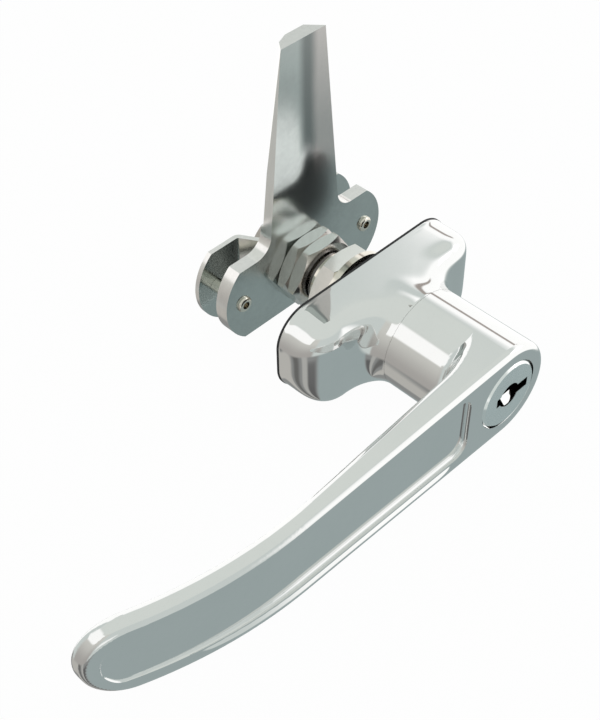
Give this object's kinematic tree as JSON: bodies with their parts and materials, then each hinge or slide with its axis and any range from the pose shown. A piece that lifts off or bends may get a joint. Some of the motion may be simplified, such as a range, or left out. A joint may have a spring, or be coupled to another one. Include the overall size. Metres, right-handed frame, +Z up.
{
  "type": "cam latch",
  "caption": "Key-locking L-handle latch for a cabinet door, with a tongued cam and clevis ears for locking rods.",
  "frame": {"origin": "on the spindle's axis at the outer face of the door panel, under the gasket", "axes": "+Y along the spindle into the cabinet, -Y to the user, +Z up along the cam's tongue at rest, -X along the lever at rest"},
  "size_m": [0.1548, 0.0853, 0.0841],
  "materials": {
    "chrome_casting": "polished chrome on a zinc die casting",
    "lock_zinc": "satin nickel on zinc",
    "cam_steel": "glossy zinc-plated steel plate",
    "nut_steel": "satin nickel-plated steel",
    "bright_steel": "bright turned steel",
    "spring_steel": "dark spring steel",
    "wafer_brass": "stamped brass",
    "black_rubber": "matte black rubber"
  },
  "bodies": {
    "mounting": {"escutcheon": "chrome_casting", "gasket": "black_rubber", "panel_washer": "bright_steel", "panel_nut": "nut_steel", "thrust_washer": "bright_steel"},
    "handle_and_cam": {"handle": "chrome_casting", "spindle": "bright_steel", "stop_pin": "bright_steel", "neck_oring": "black_rubber", "retaining_ring": "spring_steel", "jam_nut": "nut_steel", "cam_nut": "nut_steel", "cam_plate": "cam_steel", "rear_bracket": "cam_steel", "left_rod_pin": "bright_steel", "right_rod_pin": "bright_steel", "lock_washer": "spring_steel", "rear_cam_nut": "nut_steel", "lock_housing": "lock_zinc", "housing_pin": "bright_steel"},
    "lock_cylinder": {"lock_plug": "lock_zinc", "wafer_springs": "spring_steel", "plug_clip": "spring_steel", "tailpiece": "bright_steel"},
    "wafers": {"wafer_tumblers": "wafer_brass"},
    "bolt": {"locking_bolt": "bright_steel"}
  },
  "joints": [
    {"name": "handle_turn", "type": "hinge", "parent": "mounting", "child": "handle_and_cam", "pos_m": [0, 0, 0], "axis": [0, 1, 0], "range_deg": [0, 90]},
    {"name": "plug_turn", "type": "hinge", "parent": "handle_and_cam", "child": "lock_cylinder", "pos_m": [0, -0.04, 0], "axis": [0, 1, 0], "range_deg": [0, 90]},
    {"name": "bolt_slide", "type": "slide", "parent": "handle_and_cam", "child": "bolt", "axis": [1, 0, 0], "range_m": [0, 0.002]},
    {"name": "wafer_slide", "type": "slide", "parent": "lock_cylinder", "child": "wafers", "axis": [1, 0, 0], "range_m": [0, 0.0008]}
  ],
  "couplings": [
    {"joint": "bolt_slide", "follows": "plug_turn", "m_per_rad": 0.0012732}
  ]
}
